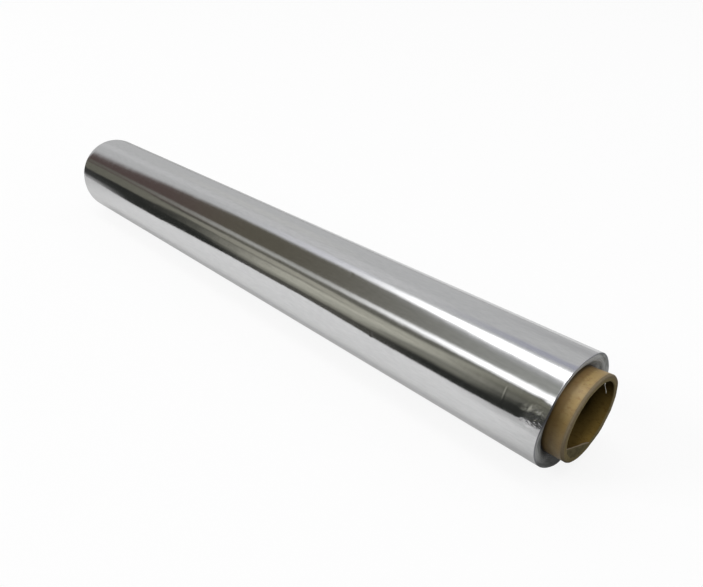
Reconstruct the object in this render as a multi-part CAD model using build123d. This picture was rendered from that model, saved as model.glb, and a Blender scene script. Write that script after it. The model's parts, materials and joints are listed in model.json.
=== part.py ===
from build123d import *
import math
import os

# Household roll of aluminium foil, lying on its side.
# One long sheet of foil is wound tight on a paper tube that stands out past it at both ends.
# X runs along the roll, Z is up, and the origin is on the axis at the middle of the tube's bore.
# Angles round the roll run from +Y towards +Z.

# Paper tube, in millimetres
bore_radius = 12.7
tube_wall = 2.2
tube_overhang = 5.7
rim_outer_round = 0.55
rim_inner_round = 0.3

# Foil winding
foil_width = 300.0
wound_depth = 5.11
first_turn_clearance = 0.02
corner_bevel = 0.3

# Edges of the turns at the two ends, drawn as bands of neighbouring turns of uneven depth
band_count = 14
band_unevenness = 0.38
band_wander = 0.11

# The winder let the inner turns drift along the tube, so the near end is dished by this much
end_dish = 1.65
dish_power = 1.6

# Flat spot that the roll's own weight presses where it lies
flat_width = 5.6

# Free edge of the last turn, behind the roll and a little below its middle
tail_angle = -17.0
tail_lift = 0.4
tail_tuck = 0.03
tail_inset = 0.6

# Knock in the near edge of the foil, on the side towards the viewer
dent_angle = 165.0
dent_depth = 0.45
dent_length = 5.6
dent_from_edge = 1.9

# Sizes that follow
tube_radius = bore_radius + tube_wall
tube_length = foil_width + 2 * tube_overhang
first_turn_radius = tube_radius + first_turn_clearance
winding_radius = first_turn_radius + wound_depth
half_width = foil_width / 2


def around(radius, degrees):
    """Place across the roll, as Y and Z, from a radius and an angle."""
    angle = math.radians(degrees)
    return (radius * math.cos(angle), radius * math.sin(angle))


def make_core():
    """Paper tube, open right through, with its cut rims worn round."""
    wall_middle = bore_radius + tube_wall / 2
    section = Pos(0, wall_middle) * Rectangle(tube_length, tube_wall)
    section = fillet(section.vertices().group_by(Axis.Y)[-1], rim_outer_round)
    section = fillet(section.vertices().group_by(Axis.Y)[0], rim_inner_round)
    return revolve(Plane.XZ * section, axis=Axis.X)


def band_limits():
    """Radii between the bands, from the first turn to the last."""
    shares = [1 + band_unevenness * math.sin(2.7 * i + 0.6) for i in range(band_count)]
    limits = [first_turn_radius]
    for share in shares:
        limits.append(limits[-1] + wound_depth * share / sum(shares))
    return limits


def band_shift(index):
    """How far a band has drifted towards the far end. The last turns lie true."""
    depth = 1 - index / (band_count - 1)
    wander = math.sin(4.1 * index) + 0.6 * math.sin(1.7 * index + 1.0)
    return end_dish * depth**dish_power + band_wander * wander * math.sqrt(math.sin(math.pi * depth))


def end_steps(side):
    """One end of the winding from the tube outwards: a step for each band, then the soft outer corner."""
    limits = band_limits()
    steps = []
    for i in range(band_count):
        x = side * half_width - band_shift(i)
        steps.append((x, limits[i]))
        steps.append((x, limits[i + 1]))
    x, radius = steps.pop()
    steps.append((x, radius - corner_bevel))
    steps.append((x - side * corner_bevel, radius))
    return steps


def make_turns():
    """All the turns as one ring. Every turn is as wide as the foil, so one end is dished, the other proud."""
    section = make_face(Polyline(*end_steps(1), *reversed(end_steps(-1)), close=True))
    return revolve(Plane.XZ * section, axis=Axis.X)


def make_tail():
    """Free edge of the last turn: it leaves the roll at a tangent and its tip stands off by the lift."""
    tuck_radius = winding_radius - tail_tuck
    tip_radius = winding_radius + tail_lift
    rise = math.degrees(math.acos(tuck_radius / tip_radius))
    leave = around(tuck_radius, tail_angle + rise)
    tip = around(tip_radius, tail_angle)
    foot = around(tuck_radius, tail_angle)
    section = make_face(Polyline(leave, tip, foot, close=True))
    return extrude(Plane.YZ * section, amount=half_width - tail_inset, both=True)


def make_flat_cutter():
    """Everything under the flat that the roll lies on."""
    flat_height = math.sqrt(winding_radius**2 - (flat_width / 2) ** 2)
    depth = winding_radius
    return Pos(0, 0, -flat_height - depth / 2) * Box(2 * foil_width, 2 * winding_radius, depth)


def make_dent_cutter():
    """Ball that presses the dent into the near edge, sized by how long and how deep the dent is."""
    ball_radius = (dent_length**2 / 4 + dent_depth**2) / (2 * dent_depth)
    y, z = around(winding_radius + ball_radius - dent_depth, dent_angle)
    return Pos(half_width - dent_from_edge, y, z) * Sphere(ball_radius)


def make_winding():
    """The wound foil with its tail, its flat spot and its dented edge."""
    return make_turns() + make_tail() - make_flat_cutter() - make_dent_cutter()


nodes = {
    "cardboard_core": make_core(),
    "foil_winding": make_winding(),
}

os.makedirs("parts", exist_ok=True)
for name, shape in nodes.items():
    export_step(shape, f"parts/{name}.step")
    box = shape.bounding_box()
    print(name, len(shape.solids()), "solid", round(shape.volume, 1), "mm3", box.min, box.max)
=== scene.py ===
"""Household roll of aluminium foil on its paper tube, lying on a pale table.

Everything is in metres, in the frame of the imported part: X along the roll, Z up.
Angles round the roll are in degrees from +Y towards +Z, so 180 faces the photo's viewer.
"""

import json
import math

import bpy
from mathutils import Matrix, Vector, noise


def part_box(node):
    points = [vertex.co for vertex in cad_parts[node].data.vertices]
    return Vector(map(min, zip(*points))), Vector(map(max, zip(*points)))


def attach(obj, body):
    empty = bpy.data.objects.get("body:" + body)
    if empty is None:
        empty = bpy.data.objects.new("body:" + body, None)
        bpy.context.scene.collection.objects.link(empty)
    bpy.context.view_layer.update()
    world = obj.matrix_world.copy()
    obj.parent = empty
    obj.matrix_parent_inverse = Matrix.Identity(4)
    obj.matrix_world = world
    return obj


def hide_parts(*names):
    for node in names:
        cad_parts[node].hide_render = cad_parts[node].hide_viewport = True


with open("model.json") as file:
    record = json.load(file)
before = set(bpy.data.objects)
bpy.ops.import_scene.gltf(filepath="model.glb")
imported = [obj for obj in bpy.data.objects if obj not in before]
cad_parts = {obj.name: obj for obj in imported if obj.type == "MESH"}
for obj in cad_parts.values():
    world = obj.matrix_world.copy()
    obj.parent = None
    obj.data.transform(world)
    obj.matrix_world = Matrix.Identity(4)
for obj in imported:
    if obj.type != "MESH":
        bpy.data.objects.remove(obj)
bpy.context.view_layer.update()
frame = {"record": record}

MM = 0.001
TURN = 2 * math.pi

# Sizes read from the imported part
winding_low, winding_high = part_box("foil_winding")
tube_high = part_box("cardboard_core")[1]
mount_sizes = {mount["name"]: mount["dims"] for mount in frame["record"]["mounts"]}
ROLL_R = winding_high.z
FLAT_Z = winding_low.z
TUBE_R = tube_high.z
TUBE_HALF = tube_high.x
BORE_R = mount_sizes["core_bore"]["r_mm"] * MM

# Sizes of the part that its boxes don't show
FOIL_HALF = 150 * MM
FIRST_TURN_CLEARANCE = 0.02 * MM
RIM_OUTER_ROUND = 0.55 * MM
RIM_INNER_ROUND = 0.3 * MM

# Sizes that follow. The tube shows from the dished end of the winding outwards.
FIRST_TURN_R = TUBE_R + FIRST_TURN_CLEARANCE
END_DISH = -winding_low.x - FOIL_HALF
TUBE_SHOWS_FROM = FOIL_HALF - END_DISH

# The photo's frame and the lens that was fitted to the roll's outline in it
PHOTO_WIDTH = 703
PHOTO_HEIGHT = 587
LENS_PIXELS = 620.3
LENS_AXIS_ROW = 350.0
SENSOR_MM = 36.0
CAMERA_PLACE = Vector((208.3, -149.8, 123.3)) * MM
CAMERA_PITCH = -34.58
CAMERA_HEADING = 46.33


def ease(low, high, value):
    """Zero below low, one above high, and a smooth rise between."""
    t = min(1.0, max(0.0, (value - low) / (high - low)))
    return t * t * (3 - 2 * t)


def bell(offset, width):
    """One at no offset, falling to nothing over a few widths."""
    return math.exp(-(offset / width) ** 2)


def angle_gap(a, b):
    """Signed difference of two angles in degrees, between -180 and 180."""
    return (a - b + 180) % 360 - 180


def roll_point(x, radius, angle):
    """Place at a distance along the roll, a radius and an angle."""
    turn = math.radians(angle)
    return Vector((x, radius * math.cos(turn), radius * math.sin(turn)))


# Lower front of the skin, where the slack turns fall away from the true round between two angles.
# The fall is an ease, half way down which the skin leans this many times more than on average.
LEAN_FROM = 162
LEAN_TO = 174
STEEPEST_EASE = 1.5

# Where it leans more, or less: place along the roll, reach along it, and degrees
LEAN_SPOTS = [
    (48 * MM, 20 * MM, 1.1),
    (142 * MM, 14 * MM, 1.0),
    (-85 * MM, 30 * MM, -1.2),
    (-25 * MM, 18 * MM, -0.7),
]

# Near edge of the outer turns, which stands proud, or back: angle, reach in degrees, and how far
EDGE_SWAYS = [
    (80, 22, 0.4 * MM),
    (258, 14, 0.35 * MM),
    (153, 14, 0.3 * MM),
    (200, 36, -0.75 * MM),
]

# Turns that show at each end of the winding
NEAR_TURNS = 24
FAR_TURNS = 14

# Soft outer corners of the winding, and the end face, which stops just inside them
CORNER_BEND = 0.28 * MM
CORNER_DEPTH = 0.34 * MM

# Columns of the two ring meshes, round the roll
FOIL_COLUMNS = 320
TUBE_COLUMNS = 256

# Crumpled patch of the skin at the near edge, on the side towards the viewer
CRUMPLE_X = FOIL_HALF - 3.2 * MM
CRUMPLE_ANGLE = 160.5
CRUMPLE_DEPTH = 0.1 * MM
CRUMPLE_REACH = 4.6 * MM
CRUMPLE_SPAN = 10.5

# Small dimples in the skin: place along the roll, angle, size, and depth in units of its relief
SMALL_DIMPLES = [
    (81.6 * MM, 166.5, 1.3 * MM, 2.5),
    (62 * MM, 121, 1.6 * MM, 1.2),
    (-38 * MM, 98, 1.8 * MM, 1.5),
]

# One light scratch round the skin
SCRATCH_X = 135.7 * MM
SCRATCH_WIDTH = 0.6 * MM
SCRATCH_FROM = 148
SCRATCH_TO = 162

# Free edge of the last turn, behind the roll
TAIL_FROM = -2.0
TAIL_TO = -17.0
TAIL_LIFT = 0.26 * MM
TAIL_INSET = 0.5 * MM
FOIL_THICK = 0.03 * MM

# Seam of the tube's outer ply, which winds along it once in this length
PLY_LEAD = 118 * MM

# How far the tube's near rim is pressed out of round, on the side away from the viewer, and from where
RIM_SPREAD = 0.85 * MM
SPREAD_LENGTH = 6.9 * MM

# Inner ply of the tube, come loose and bent in across the bottom of the near mouth.
# Its free edge is a chord of the bore, this far from the axis towards the middle of the loose stretch.
PLY_FROM = 200.0
PLY_TO = 290.0
PLY_MIDDLE = (PLY_FROM + PLY_TO) / 2
PLY_CHORD = BORE_R * math.cos(math.radians(PLY_TO - PLY_FROM) / 2)
PLY_THICK = 0.28 * MM


class Wire:
    """An output of a node. Maths between wires and numbers adds Math nodes."""

    def __init__(self, shader, socket):
        self.shader = shader
        self.socket = socket

    def maths(self, operation, first, second):
        return self.shader.node("Math", {"operation": operation}, {0: first, 1: second})

    def __add__(self, other):
        return self.maths("ADD", self, other)

    def __radd__(self, other):
        return self.maths("ADD", other, self)

    def __sub__(self, other):
        return self.maths("SUBTRACT", self, other)

    def __rsub__(self, other):
        return self.maths("SUBTRACT", other, self)

    def __mul__(self, other):
        return self.maths("MULTIPLY", self, other)

    def __rmul__(self, other):
        return self.maths("MULTIPLY", other, self)

    def __truediv__(self, other):
        return self.maths("DIVIDE", self, other)

    def __pow__(self, other):
        return self.maths("POWER", self, other)


class Shader:
    """A node tree, filled by expressions on its wires."""

    def __init__(self, tree):
        tree.nodes.clear()
        self.tree = tree

    def node(self, kind, settings, inputs, out=0):
        """Adds a node: its settings first, then the values or wires of its sockets."""
        made = self.tree.nodes.new("ShaderNode" + kind)
        for name, value in settings.items():
            setattr(made, name, value)
        for key, value in inputs.items():
            if isinstance(value, Wire):
                self.tree.links.new(value.socket, made.inputs[key])
            else:
                made.inputs[key].default_value = value
        return Wire(self, made.outputs[out]) if len(made.outputs) else None

    def place(self):
        """Place on the piece as a vector, in the part's frame."""
        return self.node("TexCoord", {}, {}, out="Object")

    def parts(self, vector):
        """The three numbers of a vector."""
        split = self.node("SeparateXYZ", {}, {0: vector}).socket.node
        return [Wire(self, number) for number in split.outputs]

    def vector(self, x, y, z):
        return self.node("CombineXYZ", {}, {0: x, 1: y, 2: z})

    def offset(self, place, origin):
        """Vector from the origin to the place."""
        return self.node("VectorMath", {"operation": "SUBTRACT"}, {0: place, 1: tuple(origin)})

    def length_of(self, vector):
        return self.node("VectorMath", {"operation": "LENGTH"}, {0: vector}, out="Value")

    def turn_of(self, up, across):
        """Angle in degrees from across towards up."""
        return self.node("Math", {"operation": "ARCTAN2"}, {0: up, 1: across}) * (360 / TURN)

    def ease(self, value, low, high):
        """Zero at low, one at high, and a smooth rise between."""
        span = {"Value": value, "From Min": low, "From Max": high}
        return self.node("MapRange", {"interpolation_type": "SMOOTHSTEP"}, span)

    def between(self, value, low, high, soft):
        """One between low and high, with edges that reach as far as soft to each side."""
        return self.ease(value, low - soft, low + soft) * (1 - self.ease(value, high - soft, high + soft))

    def larger(self, value, other):
        return self.node("Math", {"operation": "MAXIMUM"}, {0: value, 1: other})

    def from_middle(self, x):
        """Distance from the roll's middle along it, whichever way."""
        return self.larger(x, -1 * x)

    def sine(self, value):
        return self.node("Math", {"operation": "SINE"}, {0: value})

    def grain(self, place, scale, detail=2.0, rough=0.5):
        """Smooth noise about one half."""
        sockets = {"Vector": place, "Scale": scale, "Detail": detail, "Roughness": rough}
        return self.node("TexNoise", {}, sockets)

    def drawn_grain(self, place, along, across, detail=2.0, rough=0.5):
        """Noise drawn out along the roll or round it, by its scales along and across."""
        x, y, z = self.parts(place)
        return self.grain(self.vector(x * along, y * across, z * across), 1.0, detail, rough)

    def blend(self, mask, under, over):
        """Colour under, with colour over where the mask is one."""
        return self.node("Mix", {"data_type": "RGBA"}, {0: mask, 6: under, 7: over}, out=2)

    def bump(self, height, depth):
        """Surface relief: a height of one stands out by the depth in metres."""
        return self.node("Bump", {}, {"Strength": 1.0, "Distance": depth, "Height": height}, out="Normal")

    def surface(self, **sockets):
        """Ends the tree in a Principled surface, with its sockets by name."""
        named = {}
        for key, value in sockets.items():
            named[key.replace("_", " ").title().replace("Ior", "IOR")] = value
        principled = self.node("BsdfPrincipled", {}, named)
        self.node("OutputMaterial", {}, {"Surface": principled})


def colour(red, green, blue):
    """A linear colour, with nothing see-through."""
    return (red, green, blue, 1.0)


def new_material(name):
    """A material and the shader that fills it."""
    material = bpy.data.materials.new(name)
    material.use_nodes = True
    return material, Shader(material.node_tree)


def bright_foil():
    """Bright side of the foil: mirror-like, with fine rolling lines round it and long slack streaks."""
    material, foil = new_material("bright_foil")
    place = foil.place()
    x, y, z = foil.parts(place)
    turn = foil.turn_of(z, y)
    rolling_lines = foil.drawn_grain(place, 1100, 30, 3.0, 0.6)
    streaks = foil.drawn_grain(place, 9, 420)
    ripple = foil.drawn_grain(place, 60, 130)
    crinkle = foil.grain(place, 260.0)
    relief = rolling_lines * 0.2 + streaks * 1.5 + ripple * 2.8 + crinkle * 1.1
    for spot_x, angle, size, depth in SMALL_DIMPLES:
        off_spot = foil.length_of(foil.offset(place, roll_point(spot_x, ROLL_R, angle)))
        relief = relief - (1 - foil.ease(off_spot, 0.0, size)) * depth
    up_front = foil.turn_of(z, 0 - y)
    along = (x - CRUMPLE_X) / CRUMPLE_REACH
    round_it = (up_front - (180 - CRUMPLE_ANGLE)) / CRUMPLE_SPAN
    crumpled = 1 - foil.ease(foil.length_of(foil.vector(along, round_it, 0.0)), 0.45, 1.15)
    relief = relief + crumpled * foil.grain(place, 720.0) * 17
    half_width = SCRATCH_WIDTH / 2
    scratch = foil.between(x, SCRATCH_X - half_width, SCRATCH_X + half_width, 0.25 * MM)
    scratch = scratch * foil.between(turn, SCRATCH_FROM, SCRATCH_TO, 2.0)
    relief = relief + scratch * 1.2
    brushed = foil.drawn_grain(place, 240, 1500, 3.0, 0.6)
    foil.surface(
        base_color=foil.blend(brushed, colour(0.79, 0.795, 0.80), colour(0.99, 0.99, 0.99)),
        metallic=1.0,
        roughness=0.08 + 0.06 * rolling_lines + 0.13 * crumpled,
        normal=foil.bump(relief, 0.012 * MM),
    )
    return material


def edges_of_turns():
    """Cut edges of hundreds of turns, side by side: dull grey rings, with painted shade, darkest deep by the
    tube.
    """
    material, edges = new_material("edges_of_turns")
    x, y, z = edges.parts(edges.place())
    turn = edges.turn_of(z, y)
    up_front = edges.turn_of(z, 0 - y)
    radius = edges.length_of(edges.vector(0.0, y, z))
    rings = edges.grain(edges.vector(radius * 9000, x * 300, turn * 0.012), 1.0, 3.0, 0.7)
    patches = edges.grain(edges.vector(radius * 700, y * 90, z * 90), 1.0, 3.0)
    tone = edges.blend(rings, colour(0.31, 0.32, 0.32), colour(0.76, 0.77, 0.76))
    tone = edges.blend(edges.ease(patches, 0.48, 0.68) * 0.65, tone, colour(0.14, 0.15, 0.14))
    # Painted shade, dark and bluish, along the rolled outer corner
    shaded_rolled_edge = edges.ease(radius, ROLL_R - 0.75 * MM, ROLL_R - 0.3 * MM)
    tone = edges.blend(shaded_rolled_edge * 0.45, tone, colour(0.15, 0.155, 0.21))

    # Painted shade by the side of the roll, in degrees up from the side towards the viewer
    shaded_top = edges.between(up_front, 96, 150, 14) * edges.ease(patches, 0.36, 0.62)
    shaded_top = shaded_top * (1 - 0.65 * edges.ease(radius, FIRST_TURN_R + 0.7 * MM, FIRST_TURN_R + 1.8 * MM))
    tone = edges.blend(shaded_top * 0.6, tone, colour(0.13, 0.14, 0.135))
    shaded_side = edges.between(up_front, 13, 42, 10)
    tone = edges.blend(shaded_side * 0.8, tone, colour(0.05, 0.05, 0.058))
    under_side = edges.between(up_front, -100, -32, 14)
    tone = edges.blend(under_side * 0.6, tone, colour(0.09, 0.09, 0.09))
    lowest = edges.between(up_front, -125, -62, 16)
    tone = edges.blend(lowest * 0.6, tone, colour(0.05, 0.052, 0.047))

    # Painted shade by depth, towards the line where the first turn touches the tube
    touching = 1 - edges.ease(radius, FIRST_TURN_R + 0.1 * MM, FIRST_TURN_R + 0.9 * MM)
    tone = edges.blend(touching * 0.85, tone, colour(0.015, 0.013, 0.01))
    deep = 1 - edges.ease(radius, FIRST_TURN_R + 0.3 * MM, FIRST_TURN_R + 3.1 * MM)
    deep_shade_side = edges.between(up_front, -52, 34, 14)
    tone = edges.blend(deep * (0.08 + 0.9 * deep_shade_side), tone, colour(0.014, 0.013, 0.011))
    edges.surface(
        base_color=tone,
        metallic=0.75,
        roughness=0.42 + 0.2 * patches,
        normal=edges.bump(rings, 0.03 * MM),
    )
    return material


def paper_grains(shader, place):
    """Fibres, soft clouds and small mottles of brown paper."""
    fibres = shader.drawn_grain(place, 900, 2600, 4.0, 0.65)
    clouds = shader.grain(place, 260.0, 3.0)
    mottles = shader.ease(shader.drawn_grain(place, 700, 1100, 3.0, 0.6), 0.5, 0.72)
    return fibres, clouds, mottles


def kraft_board():
    """Outside of the brown paper tube: smooth and calendered, with fibres and flecks, and painted shade by
    the foil.
    """
    material, board = new_material("kraft_board")
    place = board.place()
    x, y, z = board.parts(place)
    fibres, clouds, mottles = paper_grains(board, place)
    flecks = board.ease(board.grain(place, 1500.0), 0.66, 0.74)
    tone = board.blend(clouds, colour(0.37, 0.225, 0.066), colour(0.445, 0.32, 0.125))
    tone = board.blend(mottles * 0.75, tone, colour(0.27, 0.13, 0.034))
    tone = board.blend(fibres * 0.3, tone, colour(0.50, 0.40, 0.20))
    tone = board.blend(flecks * 0.4, tone, colour(0.13, 0.08, 0.035))
    seam_turn = board.sine((board.turn_of(z, y) / 360 - x / PLY_LEAD) * (TURN / 2))
    seam = 1 - board.ease(seam_turn * seam_turn, 0.0, 0.0006)
    tone = board.blend(seam * 0.1, tone, colour(0.15, 0.095, 0.045))

    # Painted shade towards the foil, most of all low down, with a painted dark line where the tube meets the
    # foil, and worn and shaded at the cut ends
    from_middle = board.from_middle(x)
    low_side = board.ease(z, 12.5 * MM, 5 * MM)
    shade_reach = from_middle + (clouds - 0.5) * 0.9 * MM
    painted_shade_by_foil = 1 - board.ease(shade_reach, TUBE_SHOWS_FROM + 2.6 * MM, TUBE_SHOWS_FROM + 3.8 * MM)
    tone = board.blend(painted_shade_by_foil * (0.62 - 0.12 * low_side), tone, colour(0.172, 0.092, 0.027))
    painted_contact_shade = 1 - board.ease(from_middle, TUBE_SHOWS_FROM + 0.2 * MM, TUBE_SHOWS_FROM + 1.5 * MM)
    top_side = board.ease(z, 11 * MM, 14 * MM)
    tone = board.blend(painted_contact_shade * (0.92 * low_side + 0.7 * top_side), tone, colour(0.012, 0.009, 0.004))
    tone = board.blend(low_side * 0.56, tone, colour(0.152, 0.096, 0.03))
    # Wear at the cut ends, with painted shade where the rounded end turns from the light
    worn_and_shaded_end = board.ease(from_middle, TUBE_HALF - 1.9 * MM, TUBE_HALF - 0.5 * MM)
    tone = board.blend(worn_and_shaded_end * (0.35 + 0.5 * clouds), tone, colour(0.15, 0.115, 0.068))
    board.surface(
        base_color=tone,
        roughness=0.36 + 0.12 * fibres,
        normal=board.bump(fibres - seam, 0.03 * MM),
        specular_ior_level=0.55,
    )
    return material


def bare_board():
    """Bore and cut rims of the tube: dull paper, with painted shade inside and up in the bore, with plies in
    the rim.
    """
    material, board = new_material("bare_board")
    place = board.place()
    x, y, z = board.parts(place)
    radius = board.length_of(board.vector(0.0, y, z))
    from_middle = board.from_middle(x)
    fibres, clouds, mottles = paper_grains(board, place)

    # Bore, with painted shade that darkens it inwards from its mouth and upwards
    bore = board.blend(clouds, colour(0.185, 0.117, 0.027), colour(0.27, 0.178, 0.047))
    bore = board.blend(mottles * 0.65, bore, colour(0.125, 0.066, 0.014))
    bore = board.blend(fibres * 0.25, bore, colour(0.27, 0.195, 0.07))
    dark = colour(0.004, 0.003, 0.001)
    inside = board.ease(from_middle, TUBE_HALF - 1 * MM, TUBE_HALF - 4.5 * MM)
    bore = board.blend(inside * 0.46, bore, dark)
    deeper = board.ease(from_middle, TUBE_HALF - 4 * MM, TUBE_HALF - 7.5 * MM)
    deeper = deeper * board.ease(z, -11.5 * MM, -4 * MM)
    bore = board.blend(deeper * 0.85, bore, dark)
    bore = board.blend(board.ease(z, -5 * MM, 9 * MM) * 0.84, bore, dark)

    # Cut rim, whose plies lie in rings, greyer in the outer ply, and with painted shade at the bottom
    plies = board.grain(board.vector(radius * 5200, board.turn_of(z, y) * 0.02, 0.0), 1.0)
    cut = board.blend(plies, colour(0.16, 0.125, 0.06), colour(0.30, 0.245, 0.135))
    cut = board.blend(mottles * 0.6, cut, colour(0.12, 0.1, 0.045))
    outer_ply = board.ease(radius, TUBE_R - 0.75 * MM, TUBE_R - 0.5 * MM)
    cut = board.blend(outer_ply * 0.5, cut, colour(0.2, 0.16, 0.125))
    cut = board.blend(board.ease(z, -5 * MM, -13 * MM) * 0.5, cut, colour(0.1, 0.085, 0.038))
    at_rim = board.ease(from_middle, TUBE_HALF - 0.62 * MM, TUBE_HALF - 0.2 * MM)
    at_rim = board.larger(at_rim, board.ease(radius, TUBE_R - 1.0 * MM, TUBE_R - 0.6 * MM))
    board.surface(
        base_color=board.blend(at_rim, bore, cut),
        roughness=0.8,
        normal=board.bump(fibres + plies * 0.5, 0.03 * MM),
        specular_ior_level=0.0,
    )
    return material


def torn_paper():
    """Loose inner ply: the same paper, with a painted highlight along the edge where it is torn."""
    material, paper = new_material("torn_paper")
    place = paper.place()
    y, z = paper.parts(place)[1:]
    fuzz = paper.grain(place, 2600.0, 3.0, 0.6)
    patches = paper.grain(place, 420.0)
    tone = paper.blend(fuzz, colour(0.084, 0.068, 0.03), colour(0.145, 0.122, 0.062))
    tone = paper.blend(paper.ease(patches, 0.5, 0.66) * 0.6, tone, colour(0.062, 0.05, 0.02))
    outwards = roll_point(0, 1, PLY_MIDDLE)
    from_axis = y * outwards.y + z * outwards.z
    # Painted highlight along the torn free edge
    free_edge = 1 - paper.ease(from_axis, PLY_CHORD, PLY_CHORD + 0.35 * MM)
    paper.surface(
        base_color=paper.blend(free_edge * 0.8, tone, colour(0.30, 0.235, 0.16)),
        roughness=0.8,
        normal=paper.bump(fuzz, 0.05 * MM),
        specular_ior_level=0.1,
    )
    return material


def pale_fibre():
    """Bleached paper fibre, nearly white."""
    material, fibre = new_material("pale_fibre")
    fuzz = fibre.grain(fibre.place(), 3000.0)
    tone = fibre.blend(fuzz, colour(0.80, 0.77, 0.68), colour(0.92, 0.90, 0.84))
    fibre.surface(base_color=tone, roughness=0.7)
    return material


def new_piece(name, points, faces, materials, wears=None):
    """A mesh piece that rides on the part. wears gives each face's material by number."""
    mesh = bpy.data.meshes.new(name)
    mesh.from_pydata(points, [], faces)
    for material in materials:
        mesh.materials.append(material)
    mesh.polygons.foreach_set("use_smooth", [True] * len(faces))
    if wears:
        mesh.polygons.foreach_set("material_index", wears)
    piece = bpy.data.objects.new(name, mesh)
    bpy.context.scene.collection.objects.link(piece)
    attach(piece, "root")
    return piece


def ring_piece(name, rows, columns, point_at, materials, wear_at):
    """A closed ring round the roll. Rows go round its section, columns round the axis."""
    angles = [360 * i / columns for i in range(columns)]
    points = [point_at(row, angle) for row in rows for angle in angles]
    faces = []
    wears = []
    for r, row in enumerate(rows):
        here = r * columns
        after = (r + 1) % len(rows) * columns
        for c in range(columns):
            d = (c + 1) % columns
            faces.append((here + c, after + c, after + d, here + d))
            wears.append(wear_at(row))
    return new_piece(name, points, faces, materials, wears)


def sheet_piece(name, across, along, point_at, thickness, material):
    """A thin closed sheet. point_at gives its middle and its facing for two shares from 0 to 1."""
    points = []
    for side in (1, -1):
        for i in range(across + 1):
            for j in range(along + 1):
                middle, facing = point_at(i / across, j / along)
                points.append(middle + facing * (side * thickness / 2))
    width = along + 1
    back = width * (across + 1)
    faces = []
    for i in range(across):
        for j in range(along):
            a = i * width + j
            faces.append((a, a + 1, a + width + 1, a + width))
            faces.append((back + a, back + a + width, back + a + width + 1, back + a + 1))
    rim = list(range(along))
    rim += [i * width + along for i in range(across)]
    rim += [across * width + j for j in range(along, 0, -1)]
    rim += [i * width for i in range(across, 0, -1)]
    for n, a in enumerate(rim):
        b = rim[(n + 1) % len(rim)]
        faces.append((b, a, back + a, back + b))
    return new_piece(name, points, faces, [material])


def lean(x):
    """How far, in degrees, the skin's lower front leans from the true round. It wanders along the roll."""
    wave = 2.6 - 1.5 * math.cos(TURN * (x - 112 * MM) / (200 * MM))
    spots = sum(degrees * bell(x - place, reach) for place, reach, degrees in LEAN_SPOTS)
    return max(0.0, wave + spots)


def slack(x, angle):
    """How far the skin lies inside the true round where the turns are slack. Nothing where it rests."""
    turn = math.radians(angle)
    fall = math.radians(LEAN_TO - LEAN_FROM) * ROLL_R / STEEPEST_EASE
    front = math.radians(lean(x)) * fall * ease(LEAN_FROM, LEAN_TO, angle) * (1 - ease(176, 222, angle))

    # All over the skin, in millimetres: an even part, a wave both ways, short waves, and a frilled near edge
    cross_wave = math.sin(TURN * x / MM / 71 + 1.3) * math.sin(5 * turn + 2.0)
    short_wave = noise.noise(roll_point(x * 2.2, 22 * MM, angle) / (16 * MM))
    near_edge = ease(FOIL_HALF - 16 * MM, FOIL_HALF, x)
    frill = noise.noise(roll_point(x * 0.7, 20 * MM, angle) / (2.6 * MM)) * near_edge**2
    everywhere = (0.046 + 0.014 * cross_wave + 0.012 * short_wave + 0.028 * frill) * MM
    return front + everywhere * (1 - bell(angle_gap(angle, 270), 22))


def edge_sway(angle):
    """How far the near edge of the outer turns stands proud, or back, by the angle round the roll."""
    return sum(far * bell(angle_gap(angle, middle), reach) for middle, reach, far in EDGE_SWAYS)


def crumple(x, angle):
    """Depth of the crumpled patch at the near edge: small facets with sharp creases between them."""
    along = x - CRUMPLE_X
    round_it = math.radians(angle_gap(angle, CRUMPLE_ANGLE)) * ROLL_R
    reach = bell(along, 4.3 * MM) * bell(round_it, 3.3 * MM)
    if reach < 0.01:
        return 0.0
    spot = Vector((along * 0.8, round_it, 0)) / MM
    crease = 0.5 - abs(noise.noise(spot * 0.5 + Vector((3.1, 0.4, 0)))) * 2
    fine = 0.5 - abs(noise.noise(spot * 0.95 + Vector((0, 7.7, 2.0)))) * 2
    return CRUMPLE_DEPTH * reach * max(-0.4, 0.5 * crease + 1.1 * fine)


def skin_point(x, radius, angle):
    """Place on the outside of the winding, after slack turns, the crumpled patch and the flat it lies on."""
    share = ease(FIRST_TURN_R, ROLL_R, radius)
    sunk = radius - (slack(x, angle) + crumple(x, angle)) * share
    near_edge = ease(FOIL_HALF - 9 * MM, FOIL_HALF - 0.5 * MM, x)
    point = roll_point(x + edge_sway(angle) * near_edge * share, sunk, angle)
    point.z = max(point.z, FLAT_Z)
    return point


def drift(depth, radius):
    """How far a turn has drifted towards the far end, by its depth in the winding from 0 to 1."""
    wander = math.sin(radius / MM * 11.2) + 0.6 * math.sin(radius / MM * 4.6 + 1.0)
    return END_DISH * depth**1.6 + 0.07 * MM * wander * math.sqrt(math.sin(math.pi * depth))


def turn_rows(side, turns):
    """Rows over one end of the winding from the tube outwards: a flat edge and a groove for each turn."""
    rows = []
    step = (ROLL_R - CORNER_DEPTH - FIRST_TURN_R) / turns
    for i in range(turns):
        inner_r = FIRST_TURN_R + i * step
        depth = 1 - (i + 0.5) / turns
        jitter = 0.035 * MM * math.sin(i * 12.9898)
        x = side * FOIL_HALF - drift(depth, inner_r) - side * abs(jitter)
        groove = (0.05 + 0.035 * math.sin(i * 7.1)) * MM
        rows.append((x - side * groove, inner_r, "edge"))
        rows.append((x, inner_r + 0.3 * step, "edge"))
        rows.append((x, inner_r + 0.8 * step, "edge"))
    return rows


def corner_rows(side):
    """Soft outer corner of the winding, from the end face on to the skin."""
    rows = []
    for degrees in (0, 25, 50, 75, 90):
        turn = math.radians(degrees)
        x = side * (FOIL_HALF - CORNER_BEND * (1 - math.cos(turn)))
        radius = ROLL_R - CORNER_BEND * (1 - math.sin(turn))
        rows.append((x, radius, "edge" if degrees < 75 else "skin"))
    return rows


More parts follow.
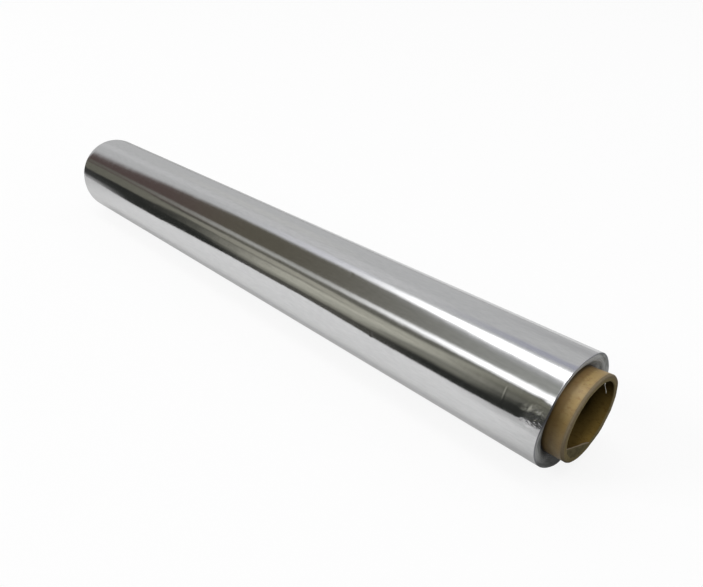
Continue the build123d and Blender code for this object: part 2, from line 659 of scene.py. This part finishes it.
def skin_rows():
    """Rows along the skin from the near edge to the far one, close together where it is creased."""
    places = [CORNER_DEPTH / MM + 0.36 * i for i in range(1, 34)]
    places += [places[-1] + 1.0 * i for i in range(1, 11)]
    rest = (2 * FOIL_HALF - CORNER_DEPTH) / MM - places[-1]
    steps = 118
    places += [places[-1] + rest * i / steps for i in range(1, steps)]
    return [(FOIL_HALF - place * MM, ROLL_R, "skin") for place in places]


def foil_winding(foil, edges):
    """The wound foil: its skin, the edges of its turns at both ends, and the hidden first turn."""
    rows = turn_rows(1, NEAR_TURNS) + corner_rows(1) + skin_rows()
    rows += reversed(turn_rows(-1, FAR_TURNS) + corner_rows(-1))

    def point_at(row, angle):
        x, radius, part = row
        if part == "edge":
            turn = math.radians(angle)
            spot = Vector((math.cos(turn) * 4, math.sin(turn) * 4, radius / MM * 2.1))
            side = 1 if x > 0 else -1
            x -= side * abs(noise.noise(spot)) * 0.07 * MM
        return skin_point(x, radius, angle)

    def wear_at(row):
        return 1 if row[2] == "edge" else 0

    piece = ring_piece("wound_foil", rows, FOIL_COLUMNS, point_at, [foil, edges], wear_at)
    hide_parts("foil_winding")


def foil_tail(foil):
    """The last few millimetres of the sheet, standing off the turn below and a little crinkled."""

    def point_at(across, along):
        x = (1 - 2 * along) * (FOIL_HALF - TAIL_INSET)
        wander = noise.noise(Vector((x / MM * 0.045, 1.7, 0.3)))
        flutter = noise.noise(Vector((x / MM * 0.33, 5.2, 8.1)))
        angle = TAIL_FROM + (TAIL_TO + 0.8 * wander + 0.25 * flutter - TAIL_FROM) * across
        lift = TAIL_LIFT * (0.55 + 0.5 * wander + 0.35 * flutter) * across**2
        radius = skin_point(x, ROLL_R, angle).yz.length + (0.03 * across - 0.01) * MM + max(0.0, lift)
        return roll_point(x, radius, angle), roll_point(0, 1, angle)

    piece = sheet_piece("free_edge_of_foil", 12, 300, point_at, FOIL_THICK, foil)


def rim_rows():
    """The near cut end of the tube from the bore outwards, with its two worn corners."""
    rows = []
    for degrees in (90, 60, 30):
        turn = math.radians(degrees)
        x = TUBE_HALF - RIM_INNER_ROUND * (1 - math.cos(turn))
        rows.append((x, BORE_R + RIM_INNER_ROUND * (1 - math.sin(turn)), "rim"))
    flat_from = BORE_R + RIM_INNER_ROUND
    flat_to = TUBE_R - RIM_OUTER_ROUND
    for i in range(9):
        rows.append((TUBE_HALF, flat_from + (flat_to - flat_from) * i / 8, "rim"))
    for degrees in (25, 50, 75, 90):
        turn = math.radians(degrees)
        x = TUBE_HALF - RIM_OUTER_ROUND * (1 - math.cos(turn))
        rows.append((x, TUBE_R - RIM_OUTER_ROUND * (1 - math.sin(turn)), "rim"))
    return rows


def tube_rows():
    """Section of the paper tube: outside near to far, far rim, bore back to the near rim, near rim."""
    outside = [TUBE_HALF - RIM_OUTER_ROUND - 0.4 * MM * i for i in range(1, 22)]
    outside += [-x for x in reversed(outside)]
    rows = [(x, TUBE_R, "outside") for x in outside]
    far_rim = [(-x, radius, part) for x, radius, part in reversed(rim_rows())]
    mouth = [TUBE_HALF - RIM_INNER_ROUND - 0.7 * MM * i for i in range(1, 30)]
    deep = [mouth[-1] * (1 - i / 12) for i in range(1, 12)]
    half_bore = mouth + deep
    bore = [-x for x in half_bore] + [0.0] + list(reversed(half_bore))
    return rows + far_rim + [(x, BORE_R, "bore") for x in bore] + rim_rows()


def cardboard_tube(board, bare):
    """The paper tube: a little out of round, its cut rims fuzzy and uneven."""

    def point_at(row, angle):
        x, radius, part = row
        turn = math.radians(angle)
        around = Vector((math.cos(turn), math.sin(turn), 0))
        spread = ease(TUBE_HALF - SPREAD_LENGTH, TUBE_HALF, x)
        radius += RIM_SPREAD * max(0.0, math.cos(turn)) ** 1.5 * spread
        if part == "bore":
            radius += 0.05 * MM * noise.noise(around * 2 + Vector((0, 0, x / MM * 0.08)))
        else:
            radius -= 0.06 * MM * abs(noise.noise(around * 1.6 + Vector((0, 0, x / MM * 0.1 + 4))))
        if part == "rim":
            side = 1 if x > 0 else -1
            uneven = noise.noise(around * 3.5 + Vector((0, 0, 9 * side)))
            fuzz = noise.noise(around * 30 + Vector((0, 0, radius / MM * 3)))
            x -= side * (0.12 + 0.1 * uneven + 0.05 * fuzz) * MM
        return roll_point(x, radius, angle)

    def wear_at(row):
        return 0 if row[2] == "outside" else 1

    piece = ring_piece("paper_tube", tube_rows(), TUBE_COLUMNS, point_at, [board, bare], wear_at)
    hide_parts("cardboard_core")


def loose_ply(paper):
    """A lip of the inmost ply, bent in from the rim. Its free edge runs straight across and turns up."""

    def point_at(across, along):
        angle = PLY_FROM + (PLY_TO - PLY_FROM) * across
        straight = PLY_CHORD / math.cos(math.radians(angle - PLY_MIDDLE))
        free_edge = straight - 0.3 * MM * bell(across - 0.78, 0.16)
        wrinkle = noise.noise(Vector((across * 7, along * 2.0, 3.0)))
        root = BORE_R + 0.35 * MM
        radius = root + (free_edge - root) * along
        inward = (0.27 + 0.28 * along + 0.12 * wrinkle * along) * MM
        point = roll_point(TUBE_HALF - inward, radius, angle)
        facing = Vector((1.0, 0, 0)) - roll_point(0, 0.3, angle)
        return point, facing.normalized()

    piece = sheet_piece("loose_inner_ply", 72, 14, point_at, PLY_THICK, paper)


def stray_fibre(pale):
    """A pale paper fibre that hangs from the top of the near rim, with a speck at its tip."""
    start = roll_point(TUBE_HALF - 0.15 * MM, BORE_R + 0.1 * MM, 76)
    route = [
        start,
        start + Vector((-0.1, 0.3, -0.8)) * MM,
        start + Vector((-0.15, 1.5, -2.4)) * MM,
        start + Vector((-0.15, 3.1, -4.9)) * MM,
        start + Vector((-0.15, 3.5, -5.8)) * MM,
    ]
    radii = [0.12, 0.075, 0.075, 0.13, 0.07]
    sides = 8
    points = []
    for centre, radius in zip(route, radii):
        for i in range(sides):
            turn = TURN * i / sides
            points.append(centre + Vector((math.cos(turn), math.sin(turn), 0)) * radius * MM)
    faces = []
    for r in range(len(route) - 1):
        here = r * sides
        for c in range(sides):
            d = (c + 1) % sides
            faces.append((here + d, here + c, here + sides + c, here + sides + d))
    faces.append(tuple(range(sides)))
    faces.append(tuple(reversed(range(len(points) - sides, len(points)))))
    piece = new_piece("stray_paper_fibre", points, faces, [pale])


# Brightness of the studio as the foil mirrors it
CEILING = colour(0.455, 0.457, 0.46)
LAMP = colour(1.6, 1.6, 1.62)
LAMP_HEART = colour(5.0, 5.0, 5.0)


def pale_ceiling(room, turn, along, in_front):
    """The ceiling over the roll, a little uneven, with a bluish rim by the lamp."""
    pale = room.between(turn, 56, 74, 7) * room.ease(0 - along, 0.45, 0.6)
    tone = room.blend(pale, CEILING, colour(0.51, 0.51, 0.515))
    middle = room.between(turn, 34, 52, 8) * room.between(along, -0.84, -0.66, 0.05)
    tone = room.blend(middle, tone, colour(0.49, 0.49, 0.485))
    near_by = room.ease(along, -0.5, -0.3) * in_front
    tone = room.blend(near_by * room.between(turn, 8, 30, 10), tone, colour(0.38, 0.38, 0.385))
    rim_of_lamp = room.between(turn, 65, 76, 4) * room.ease(along, -0.55, -0.36) * in_front
    return room.blend(rim_of_lamp, tone, colour(0.34, 0.345, 0.40))


def upper_lamp(room, turn, along, in_front, near_edge, tone):
    """A long lamp that starts faint far off, is full from half way along, and has a bright heart near by."""
    faint_start = room.between(turn, 76, 90, 3) * room.ease(along, -0.81, -0.66)
    faint_start = faint_start * (1 - room.ease(along, -0.66, -0.57))
    tone = room.blend(faint_start * 0.9, tone, colour(0.60, 0.60, 0.64))
    lamp = room.ease(turn, 78 + 2 * near_edge, 85 + 2 * near_edge)
    lamp = lamp * room.ease(along, -0.69, -0.48) * in_front
    tone = room.blend(lamp, tone, LAMP)
    heart = lamp * room.between(turn, 87, 98, 3) * room.ease(along, -0.46, -0.4)
    return room.blend(heart, tone, LAMP_HEART)


def high_wall(room, turn, along, tone):
    """A wall that is brown far off, then olive, then grey near by. Its top edge bends down at both ends."""
    far_bend = room.larger(0 - along - 0.765, 0.0) ** 2.3 * 2150
    near_bend = room.larger(along + 0.66, 0.0) * 34.5
    wall_top = 91 + far_bend + near_bend
    soft = 5 + far_bend * 0.3
    nearer = room.ease(along, -0.86, -0.76)
    wall = room.blend(nearer, colour(0.079, 0.057, 0.053), colour(0.093, 0.085, 0.065))
    wall = room.blend(room.ease(along, -0.765, -0.33), wall, colour(0.275, 0.28, 0.265))
    under_lamp = (1 - room.ease(turn, wall_top + 1, wall_top + 15)) * room.ease(along, -0.62, -0.4)
    wall = room.blend(under_lamp * 0.45, wall, colour(0.5, 0.5, 0.53))
    return room.blend(room.ease(turn, wall_top - soft, wall_top + soft), tone, wall)


def lower_lamp(room, turn, along, in_front, near_edge, tone):
    """A second lamp under that wall, which is only a pale strip far off."""
    softer = room.ease(along, -0.6, -0.5)
    ends = 143.5 - 0.6 * room.ease(along, -0.61, -0.56) + room.larger(along + 0.5, 0.0) * 16
    fades = 2.6 + 3.4 * softer + 1.5 * near_edge
    strip = 1 - room.ease(turn, ends - fades, ends + fades)
    strip = strip * room.ease(turn, 131.9 - 2 * softer - 2 * near_edge, 137.1 + 2.6 * softer)
    nearer = room.ease(along, -0.89, -0.74)
    strip_tone = room.blend(nearer, colour(0.11, 0.101, 0.088), colour(0.36, 0.36, 0.34))
    strip_tone = room.blend(room.ease(along, -0.70, -0.42) * in_front, strip_tone, LAMP)
    return room.blend(strip, tone, strip_tone)


def low_wall(room, turn, along, tone):
    """A dark wall down to the table."""
    nearer = room.ease(along, -0.865, -0.76)
    shade = room.blend(nearer, colour(0.019, 0.020, 0.019), colour(0.10, 0.098, 0.083))
    shade = room.blend(room.ease(along, -0.46, -0.34), shade, colour(0.040, 0.041, 0.036))
    shade = room.blend(room.ease(along, -0.885, -0.9), shade, colour(0.044, 0.044, 0.042))
    return room.blend(room.ease(turn, 144.5, 148), tone, shade)


def upper_olive_band(room, turn, along, tone):
    """A narrow olive band across the low wall, which dims near by."""
    far_part = 1 - room.ease(along, -0.86, -0.83)
    near_part = room.ease(along, -0.68, -0.58)
    nearer = room.ease(along, -0.895, -0.70)
    olive = room.blend(nearer, colour(0.125, 0.122, 0.10), colour(0.33, 0.32, 0.27))
    olive = room.blend(near_part, olive, colour(0.37, 0.365, 0.31))
    olive = room.blend(room.ease(along, -0.53, -0.34), olive, colour(0.15, 0.148, 0.12))
    dimming = room.ease(along, -0.5, -0.38) * room.ease(turn, 152, 165)
    olive = room.blend(dimming * 0.6, olive, colour(0.035, 0.036, 0.03))
    band_from = 150.3 - 4.8 * far_part + 4.3 * near_part - 6.5 * room.ease(along, -0.5, -0.4)
    band_to = 160.5 + 8 * far_part + 3 * near_part
    return room.blend(room.between(turn, band_from, band_to, 2.2 + 1.2 * near_part), tone, olive)


def lower_olive_band(room, turn, along, tone):
    """A broader olive band under the narrow one, with a dull shelf in it."""
    band_to = 181 - 10 * room.ease(along, -0.66, -0.5)
    band = room.between(turn, 163, band_to, 3) * room.ease(along, -0.83, -0.67)
    band = band * (1 - 0.85 * room.ease(along, -0.58, -0.36))
    tone = room.blend(band, tone, colour(0.46, 0.45, 0.385))
    shelf = room.between(turn, 168, 183, 4) * room.between(along, -0.70, -0.42, 0.05)
    return room.blend(shelf * 0.5, tone, colour(0.25, 0.25, 0.215))


def studio_room():
    """The soft studio that the foil mirrors, by angle round the roll and by lean along it.

    From the top down to the front there are a pale ceiling, a long lamp, a wall, a second lamp, and a low
    wall with two olive bands. The lean is -1 towards the far end and 1 towards the near one. The lamps end
    a little past the near end, and they widen or narrow where the skin's near edge mirrors them.
    """
    world = bpy.data.worlds.new("studio_room")
    bpy.context.scene.world = world
    world.use_nodes = True
    room = Shader(world.node_tree)
    sight = room.node("TexCoord", {}, {}, out="Generated")
    along, across, up = room.parts(sight)
    turn = room.turn_of(up, across)
    in_front = room.ease(0 - along, -0.42, -0.22)
    near_edge = room.ease(along, -0.39, -0.3)
    tone = pale_ceiling(room, turn, along, in_front)
    tone = upper_lamp(room, turn, along, in_front, near_edge, tone)
    tone = high_wall(room, turn, along, tone)
    tone = lower_lamp(room, turn, along, in_front, near_edge, tone)
    tone = low_wall(room, turn, along, tone)
    tone = upper_olive_band(room, turn, along, tone)
    tone = lower_olive_band(room, turn, along, tone)

    # Window past the near end, which only other views catch
    window = room.between(turn, 40, 62, 3) * room.between(along, 0.1, 0.75, 0.1)
    tone = room.blend(window, tone, colour(1.3, 1.3, 1.3))

    # Plain pale backdrop, where the camera sees past the table
    seen = room.node("LightPath", {}, {}, out="Is Camera Ray")
    tone = room.blend(seen, tone, colour(0.966, 0.966, 0.966))
    light = room.node("Background", {}, {"Color": tone, "Strength": 1.0})
    room.node("OutputWorld", {}, {"Surface": light})


# Table top, a hair under the flat that the roll lies on
TABLE_HALF = 6.0
TABLE_Z = FLAT_Z - 0.02 * MM

# Dark card that stands along the front of the table
CARD_FROM = -0.9
CARD_TO = 0.5
CARD_Y = -74 * MM
CARD_TOP = 9.5 * MM


def pale_table():
    """Plain pale table top. It glows weakly with painted light, so that shadows stay faint.

    The foil mirrors it with painted shade, a little darker past both ends, far off, and by the dark card
    near the end, and with a painted shadow close under the roll.
    """
    material, table = new_material("pale_table")
    place = table.place()
    x, y = table.parts(place)[:2]
    cloud = table.grain(place, 9.0)
    seen = table.node("LightPath", {}, {}, out="Is Camera Ray")
    mirrored = table.node("LightPath", {}, {}, out="Is Glossy Ray")
    # Painted shade, and a painted shadow under the roll, in what the foil mirrors
    painted_shade_past_ends = (1 - 0.26 * table.ease(x, -0.13, -0.25)) * (1 - 0.2 * table.ease(x, 0.118, 0.15))
    painted_shadow_under_roll = table.ease(y, -27 * MM, -16 * MM) * (1 - table.ease(y, -14 * MM, -9 * MM))
    painted_shadow_under_roll = painted_shadow_under_roll * table.ease(x, -0.18, -0.13)
    painted_shade_far_off = table.ease(table.length_of(place), 0.3, 0.9)
    painted_shade_by_card = table.ease(y, -46 * MM, -66 * MM) * table.ease(x, 0.085, 0.125)
    share = painted_shade_past_ends * (1 - 0.14 * painted_shadow_under_roll) * (1 - 0.3 * painted_shade_far_off) * (1 - 0.38 * painted_shade_by_card)
    in_foil = table.blend(share, colour(0, 0, 0), colour(0.42, 0.42, 0.42))
    tone = table.blend(cloud, colour(0.22, 0.22, 0.22), colour(0.25, 0.25, 0.25))
    tone = table.blend(mirrored, tone, in_foil)
    tone = table.blend(seen, tone, colour(0.12, 0.12, 0.12))
    # Painted light: the table glows, most of all for the camera
    painted_glow = table.blend(share * mirrored, colour(0.07, 0.07, 0.07), colour(0.235, 0.235, 0.235))
    painted_glow = table.blend(seen, painted_glow, colour(0.865, 0.865, 0.865))
    table.surface(
        base_color=tone,
        roughness=0.9,
        specular_ior_level=0.0,
        emission_color=painted_glow,
        emission_strength=1.0,
    )
    corners = [
        (-TABLE_HALF, -TABLE_HALF, TABLE_Z),
        (TABLE_HALF, -TABLE_HALF, TABLE_Z),
        (TABLE_HALF, TABLE_HALF, TABLE_Z),
        (-TABLE_HALF, TABLE_HALF, TABLE_Z),
    ]
    stage_sheet("table", corners, material)


def dark_card():
    """A low dark card along the front of the table. Only the foil sees it, as its dark line."""
    material, card = new_material("dark_card")
    x, _, z = card.parts(card.place())
    in_middle = card.between(x, -0.07, 0.05, 0.03)
    tone = card.blend(in_middle, colour(0.021, 0.022, 0.020), colour(0.068, 0.066, 0.058))
    lit_top = card.ease(z, -3.5 * MM, CARD_TOP) * card.ease(x, -0.12, -0.015)
    lit_top = lit_top * (1 - 0.45 * card.ease(x, 0.033, 0.055)) * (1 - card.ease(x, 0.085, 0.12))
    tone = card.blend(lit_top, tone, colour(0.30, 0.295, 0.25))
    fading = card.ease(x, -0.19, -0.26) * (0.07 + 0.93 * card.ease(z, 3 * MM, -19 * MM))
    tone = card.blend(fading, tone, colour(0.30, 0.30, 0.30))
    light = card.node("Emission", {}, {"Color": tone, "Strength": 1.0})
    card.node("OutputMaterial", {}, {"Surface": light})
    corners = [
        (CARD_FROM, CARD_Y, FLAT_Z),
        (CARD_TO, CARD_Y, FLAT_Z),
        (CARD_TO, CARD_Y, CARD_TOP),
        (CARD_FROM, CARD_Y, CARD_TOP),
    ]
    panel = stage_sheet("dark_card", corners, material)
    panel.visible_camera = False
    panel.visible_diffuse = False
    panel.visible_shadow = False


def stage_sheet(name, corners, material):
    """A flat piece of the stage, which isn't part of the roll."""
    mesh = bpy.data.meshes.new(name)
    mesh.from_pydata(corners, [], [(0, 1, 2, 3)])
    mesh.materials.append(material)
    sheet = bpy.data.objects.new(name, mesh)
    bpy.context.scene.collection.objects.link(sheet)
    return sheet


def soft_light(name, place, aim, size, power):
    """A broad soft lamp that lights the table and the board, and stays out of the foil."""
    data = bpy.data.lights.new(name, "AREA")
    data.shape = "SQUARE"
    data.size = size
    data.energy = power
    lamp = bpy.data.objects.new(name, data)
    lamp.location = place
    lamp.rotation_mode = "QUATERNION"
    lamp.rotation_quaternion = (aim - place).to_track_quat("-Z", "Y")
    lamp.visible_glossy = False
    bpy.context.scene.collection.objects.link(lamp)


def place_camera():
    """The photo's camera, by the fitted place, aim and lens. Its shift brings the lens axis to its row."""
    data = bpy.data.cameras.new("camera")
    data.sensor_width = SENSOR_MM
    data.lens = SENSOR_MM * LENS_PIXELS / PHOTO_WIDTH
    data.shift_y = (LENS_AXIS_ROW - PHOTO_HEIGHT / 2) / PHOTO_WIDTH
    data.clip_start = 0.01
    camera = bpy.data.objects.new("camera", data)
    camera.location = CAMERA_PLACE
    camera.rotation_euler = (math.radians(90 + CAMERA_PITCH), 0, math.radians(CAMERA_HEADING))
    bpy.context.scene.collection.objects.link(camera)
    bpy.context.scene.camera = camera


place_camera()
studio_room()
pale_table()
dark_card()
soft_light("soft_key", place=Vector((-1.5, -1.75, 1.4)), aim=Vector((0.05, 0, 0)), size=1.1, power=30)
soft_light("end_light", place=Vector((1.3, -0.25, 0.75)), aim=Vector((0.15, 0, 0)), size=0.5, power=1.6)

foil_finish = bright_foil()
foil_winding(foil_finish, edges_of_turns())
foil_tail(foil_finish)
cardboard_tube(kraft_board(), bare_board())
loose_ply(torn_paper())
stray_fibre(pale_fibre())

bpy.context.scene.view_settings.view_transform = "Standard"
